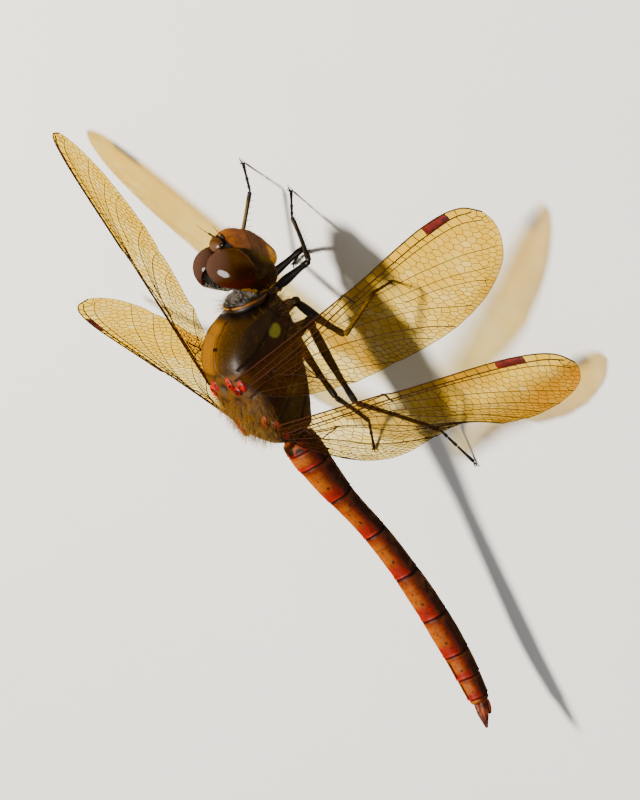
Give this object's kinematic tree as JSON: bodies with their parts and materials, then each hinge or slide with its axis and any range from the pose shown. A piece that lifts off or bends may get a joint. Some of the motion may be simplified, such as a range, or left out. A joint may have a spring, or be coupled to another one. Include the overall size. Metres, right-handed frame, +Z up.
{
  "type": "common darter dragonfly",
  "caption": "Life-size male darter dragonfly standing with wings swept forward and down, red slender abdomen, large brown eyes.",
  "frame": {"origin": "middle of the model's base, on the floor", "axes": "+X towards the head, +Y towards the insect's left, +Z up"},
  "size_m": [0.0489, 0.0541, 0.0125],
  "materials": {
    "cuticle_red": "orange-red shell with a soft gloss, darker along the sides",
    "cuticle_olive": "olive-brown shell, glossy on the shoulders, golden on the left panel",
    "face_ochre": "ochre face, satin",
    "mouth_yellow": "yellowish mouthparts, satin",
    "eye_brown": "purplish brown compound eye, polished",
    "dark_chitin": "blackish shell with a dull gloss: legs, feelers, and the wings' veins",
    "wing_amber": "thin amber-tinted membrane"
  },
  "bodies": {
    "root": {"thorax": "cuticle_olive", "prothorax": "cuticle_olive", "eye_left": "eye_brown", "eye_right": "eye_brown", "frons": "face_ochre", "clypeus": "face_ochre", "labrum": "mouth_yellow", "head_capsule": "cuticle_olive", "labium": "mouth_yellow", "vertex": "cuticle_olive", "antenna_left": "dark_chitin", "antenna_right": "dark_chitin", "neck": "cuticle_olive", "abdomen_s01": "cuticle_red", "abdomen_s02": "cuticle_red", "abdomen_s03": "cuticle_red", "abdomen_s04": "cuticle_red", "abdomen_s05": "cuticle_red", "abdomen_s06": "cuticle_red", "abdomen_s07": "cuticle_red", "abdomen_s08": "cuticle_red", "abdomen_s09": "cuticle_red", "abdomen_s10": "cuticle_red", "cercus_left": "cuticle_red", "cercus_right": "cuticle_red", "epiproct": "cuticle_red", "coxa_fore_right": "cuticle_olive", "femur_fore_right": "dark_chitin", "tibia_fore_right": "dark_chitin", "tarsus_fore_right": "dark_chitin", "coxa_middle_right": "cuticle_olive", "femur_middle_right": "dark_chitin", "tibia_middle_right": "dark_chitin", "tarsus_middle_right": "dark_chitin", "coxa_hind_right": "cuticle_olive", "femur_hind_right": "dark_chitin", "tibia_hind_right": "dark_chitin", "tarsus_hind_right": "dark_chitin", "coxa_fore_left": "cuticle_olive", "femur_fore_left": "dark_chitin", "tibia_fore_left": "dark_chitin", "tarsus_fore_left": "dark_chitin", "coxa_middle_left": "cuticle_olive", "femur_middle_left": "dark_chitin", "tibia_middle_left": "dark_chitin", "tarsus_middle_left": "dark_chitin", "coxa_hind_left": "cuticle_olive", "femur_hind_left": "dark_chitin", "tibia_hind_left": "dark_chitin", "tarsus_hind_left": "dark_chitin", "forewing_right": "wing_amber", "hindwing_right": "wing_amber", "forewing_left": "wing_amber", "hindwing_left": "wing_amber"}
  },
  "joints": []
}
